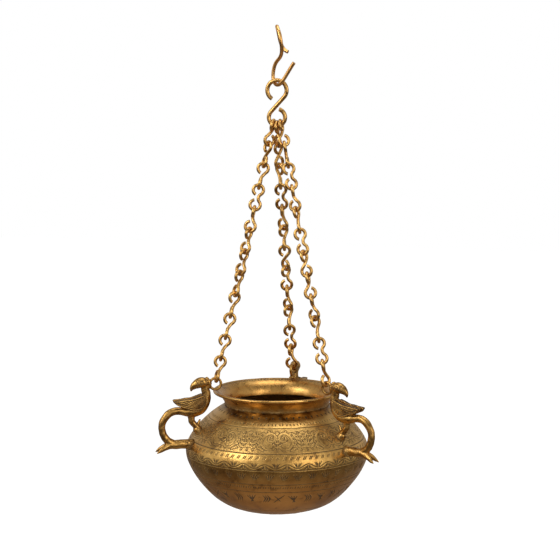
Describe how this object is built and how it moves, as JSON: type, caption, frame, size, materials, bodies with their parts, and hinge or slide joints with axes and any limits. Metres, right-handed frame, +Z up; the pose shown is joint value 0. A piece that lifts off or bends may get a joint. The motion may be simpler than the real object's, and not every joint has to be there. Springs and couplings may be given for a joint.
{
  "type": "hanging brass bowl",
  "caption": "Round engraved brass bowl with a flared collar, hung by bird-shaped cast brackets and wire-link chains from an S-link and a bent-wire hook.",
  "frame": {"origin": "the hanging point: the underside of the hook's crown, on the bowl's vertical axis", "axes": "+Z up along the bowl's axis, +Y from the axis towards the rear bird bracket, +X to the right seen from the front, millimetre model with no rotation"},
  "size_m": [0.2345, 0.2261, 0.5039],
  "materials": {
    "engraved_brass": "hand-engraved brass, worn bright on the high spots with dark patina in the cuts",
    "collar_brass": "turned brass with an aged golden-brown patina",
    "cast_brass": "cast brass with a dull brown-green patina in the recesses",
    "chain_brass": "hand-bent brass wire, bright where the links rub"
  },
  "bodies": {
    "hook": {"hanging_hook": "chain_brass"},
    "s_link": {"s_link": "chain_brass"},
    "pot": {"bowl_body": "engraved_brass", "rim_collar": "collar_brass", "bird_bracket_left": "cast_brass", "bird_bracket_right": "cast_brass", "bird_bracket_rear": "cast_brass"},
    "left_link_01": {"left_link_01": "chain_brass"},
    "left_link_02": {"left_link_02": "chain_brass"},
    "left_link_03": {"left_link_03": "chain_brass"},
    "left_link_04": {"left_link_04": "chain_brass"},
    "left_link_05": {"left_link_05": "chain_brass"},
    "left_link_06": {"left_link_06": "chain_brass"},
    "left_link_07": {"left_link_07": "chain_brass"},
    "left_link_08": {"left_link_08": "chain_brass"},
    "left_link_09": {"left_link_09": "chain_brass"},
    "left_link_10": {"left_link_10": "chain_brass"},
    "left_link_11": {"left_link_11": "chain_brass"},
    "left_link_12": {"left_link_12": "chain_brass"},
    "right_link_01": {"right_link_01": "chain_brass"},
    "right_link_02": {"right_link_02": "chain_brass"},
    "right_link_03": {"right_link_03": "chain_brass"},
    "right_link_04": {"right_link_04": "chain_brass"},
    "right_link_05": {"right_link_05": "chain_brass"},
    "right_link_06": {"right_link_06": "chain_brass"},
    "right_link_07": {"right_link_07": "chain_brass"},
    "right_link_08": {"right_link_08": "chain_brass"},
    "right_link_09": {"right_link_09": "chain_brass"},
    "right_link_10": {"right_link_10": "chain_brass"},
    "right_link_11": {"right_link_11": "chain_brass"},
    "right_link_12": {"right_link_12": "chain_brass"},
    "rear_link_01": {"rear_link_01": "chain_brass"},
    "rear_link_02": {"rear_link_02": "chain_brass"},
    "rear_link_03": {"rear_link_03": "chain_brass"},
    "rear_link_04": {"rear_link_04": "chain_brass"},
    "rear_link_05": {"rear_link_05": "chain_brass"},
    "rear_link_06": {"rear_link_06": "chain_brass"},
    "rear_link_07": {"rear_link_07": "chain_brass"},
    "rear_link_08": {"rear_link_08": "chain_brass"},
    "rear_link_09": {"rear_link_09": "chain_brass"},
    "rear_link_10": {"rear_link_10": "chain_brass"},
    "rear_link_11": {"rear_link_11": "chain_brass"},
    "rear_link_12": {"rear_link_12": "chain_brass"}
  },
  "joints": [
    {"name": "s_link_swing", "type": "hinge", "parent": "hook", "child": "s_link", "pos_m": [0.00022, -0.00005, -0.05764], "axis": [-0.2873, 0.9578, 0], "range_deg": [-20, 20]},
    {"name": "pot_swing", "type": "hinge", "parent": "s_link", "child": "pot", "pos_m": [0, 0, -0.0992], "axis": [1, 0, 0], "range_deg": [-20, 20]},
    {"name": "left_link_01_twist", "type": "hinge", "parent": "pot", "child": "left_link_01", "pos_m": [-0.00596, -0.00104, -0.10668], "axis": [0.194, 0.1211, 0.9735], "range_deg": [-2, 2]},
    {"name": "left_link_02_twist", "type": "hinge", "parent": "pot", "child": "left_link_02", "pos_m": [-0.01038, -0.00379, -0.12884], "axis": [0.194, 0.1211, 0.9735], "range_deg": [-6, 6]},
    {"name": "left_link_03_twist", "type": "hinge", "parent": "pot", "child": "left_link_03", "pos_m": [-0.0148, -0.00655, -0.151], "axis": [0.194, 0.1211, 0.9735], "range_deg": [-12, 12]},
    {"name": "left_link_04_twist", "type": "hinge", "parent": "pot", "child": "left_link_04", "pos_m": [-0.01921, -0.0093, -0.17316], "axis": [0.194, 0.1211, 0.9735], "range_deg": [-12, 12]},
    {"name": "left_link_05_twist", "type": "hinge", "parent": "pot", "child": "left_link_05", "pos_m": [-0.02363, -0.01206, -0.19532], "axis": [0.194, 0.1211, 0.9735], "range_deg": [-12, 12]},
    {"name": "left_link_06_twist", "type": "hinge", "parent": "pot", "child": "left_link_06", "pos_m": [-0.02805, -0.01482, -0.21748], "axis": [0.194, 0.1211, 0.9735], "range_deg": [-12, 12]},
    {"name": "left_link_07_twist", "type": "hinge", "parent": "pot", "child": "left_link_07", "pos_m": [-0.03246, -0.01757, -0.23963], "axis": [0.194, 0.1211, 0.9735], "range_deg": [-12, 12]},
    {"name": "left_link_08_twist", "type": "hinge", "parent": "pot", "child": "left_link_08", "pos_m": [-0.03688, -0.02033, -0.26179], "axis": [0.194, 0.1211, 0.9735], "range_deg": [-12, 12]},
    {"name": "left_link_09_twist", "type": "hinge", "parent": "pot", "child": "left_link_09", "pos_m": [-0.0413, -0.02308, -0.28395], "axis": [0.194, 0.1211, 0.9735], "range_deg": [-12, 12]},
    {"name": "left_link_10_twist", "type": "hinge", "parent": "pot", "child": "left_link_10", "pos_m": [-0.04571, -0.02584, -0.30611], "axis": [0.194, 0.1211, 0.9735], "range_deg": [-12, 12]},
    {"name": "left_link_11_twist", "type": "hinge", "parent": "pot", "child": "left_link_11", "pos_m": [-0.05013, -0.02859, -0.32827], "axis": [0.194, 0.1211, 0.9735], "range_deg": [-12, 12]},
    {"name": "left_link_12_twist", "type": "hinge", "parent": "pot", "child": "left_link_12", "pos_m": [-0.05455, -0.03135, -0.35043], "axis": [0.194, 0.1211, 0.9735], "range_deg": [-12, 12]},
    {"name": "right_link_01_twist", "type": "hinge", "parent": "pot", "child": "right_link_01", "pos_m": [0.00604, -0.00089, -0.1067], "axis": [-0.2029, 0.1043, 0.9736], "range_deg": [-1, 3]},
    {"name": "right_link_02_twist", "type": "hinge", "parent": "pot", "child": "right_link_02", "pos_m": [0.01066, -0.00327, -0.12886], "axis": [-0.2029, 0.1043, 0.9736], "range_deg": [-4, 4]},
    {"name": "right_link_03_twist", "type": "hinge", "parent": "pot", "child": "right_link_03", "pos_m": [0.01528, -0.00564, -0.15102], "axis": [-0.2029, 0.1043, 0.9736], "range_deg": [-12, 12]},
    {"name": "right_link_04_twist", "type": "hinge", "parent": "pot", "child": "right_link_04", "pos_m": [0.01989, -0.00801, -0.17317], "axis": [-0.2029, 0.1043, 0.9736], "range_deg": [-12, 12]},
    {"name": "right_link_05_twist", "type": "hinge", "parent": "pot", "child": "right_link_05", "pos_m": [0.02451, -0.01039, -0.19533], "axis": [-0.2029, 0.1043, 0.9736], "range_deg": [-12, 12]},
    {"name": "right_link_06_twist", "type": "hinge", "parent": "pot", "child": "right_link_06", "pos_m": [0.02913, -0.01276, -0.21749], "axis": [-0.2029, 0.1043, 0.9736], "range_deg": [-12, 12]},
    {"name": "right_link_07_twist", "type": "hinge", "parent": "pot", "child": "right_link_07", "pos_m": [0.03375, -0.01513, -0.23964], "axis": [-0.2029, 0.1043, 0.9736], "range_deg": [-12, 12]},
    {"name": "right_link_08_twist", "type": "hinge", "parent": "pot", "child": "right_link_08", "pos_m": [0.03837, -0.0175, -0.2618], "axis": [-0.2029, 0.1043, 0.9736], "range_deg": [-12, 12]},
    {"name": "right_link_09_twist", "type": "hinge", "parent": "pot", "child": "right_link_09", "pos_m": [0.04299, -0.01988, -0.28396], "axis": [-0.2029, 0.1043, 0.9736], "range_deg": [-12, 12]},
    {"name": "right_link_10_twist", "type": "hinge", "parent": "pot", "child": "right_link_10", "pos_m": [0.0476, -0.02225, -0.30612], "axis": [-0.2029, 0.1043, 0.9736], "range_deg": [-12, 12]},
    {"name": "right_link_11_twist", "type": "hinge", "parent": "pot", "child": "right_link_11", "pos_m": [0.05222, -0.02462, -0.32827], "axis": [-0.2029, 0.1043, 0.9736], "range_deg": [-12, 12]},
    {"name": "right_link_12_twist", "type": "hinge", "parent": "pot", "child": "right_link_12", "pos_m": [0.05684, -0.02699, -0.35043], "axis": [-0.2029, 0.1043, 0.9736], "range_deg": [-12, 12]},
    {"name": "rear_link_01_twist", "type": "hinge", "parent": "pot", "child": "rear_link_01", "pos_m": [0, 0.00219, -0.10826], "axis": [0, -0.2424, 0.9702], "range_deg": [-1, 1]},
    {"name": "rear_link_02_twist", "type": "hinge", "parent": "pot", "child": "rear_link_02", "pos_m": [0, 0.00769, -0.13028], "axis": [0, -0.2424, 0.9702], "range_deg": [-4, 2]},
    {"name": "rear_link_03_twist", "type": "hinge", "parent": "pot", "child": "rear_link_03", "pos_m": [0, 0.01319, -0.15231], "axis": [0, -0.2424, 0.9702], "range_deg": [-12, 12]},
    {"name": "rear_link_04_twist", "type": "hinge", "parent": "pot", "child": "rear_link_04", "pos_m": [0, 0.01869, -0.17433], "axis": [0, -0.2424, 0.9702], "range_deg": [-12, 12]},
    {"name": "rear_link_05_twist", "type": "hinge", "parent": "pot", "child": "rear_link_05", "pos_m": [0, 0.0242, -0.19636], "axis": [0, -0.2424, 0.9702], "range_deg": [-12, 12]},
    {"name": "rear_link_06_twist", "type": "hinge", "parent": "pot", "child": "rear_link_06", "pos_m": [0, 0.0297, -0.21839], "axis": [0, -0.2424, 0.9702], "range_deg": [-12, 12]},
    {"name": "rear_link_07_twist", "type": "hinge", "parent": "pot", "child": "rear_link_07", "pos_m": [0, 0.0352, -0.24041], "axis": [0, -0.2424, 0.9702], "range_deg": [-12, 12]},
    {"name": "rear_link_08_twist", "type": "hinge", "parent": "pot", "child": "rear_link_08", "pos_m": [0, 0.0407, -0.26244], "axis": [0, -0.2424, 0.9702], "range_deg": [-12, 12]},
    {"name": "rear_link_09_twist", "type": "hinge", "parent": "pot", "child": "rear_link_09", "pos_m": [0, 0.04621, -0.28446], "axis": [0, -0.2424, 0.9702], "range_deg": [-12, 12]},
    {"name": "rear_link_10_twist", "type": "hinge", "parent": "pot", "child": "rear_link_10", "pos_m": [0, 0.05171, -0.30649], "axis": [0, -0.2424, 0.9702], "range_deg": [-12, 12]},
    {"name": "rear_link_11_twist", "type": "hinge", "parent": "pot", "child": "rear_link_11", "pos_m": [0, 0.05721, -0.32851], "axis": [0, -0.2424, 0.9702], "range_deg": [-12, 12]},
    {"name": "rear_link_12_twist", "type": "hinge", "parent": "pot", "child": "rear_link_12", "pos_m": [0, 0.06271, -0.35054], "axis": [0, -0.2424, 0.9702], "range_deg": [-12, 12]}
  ]
}
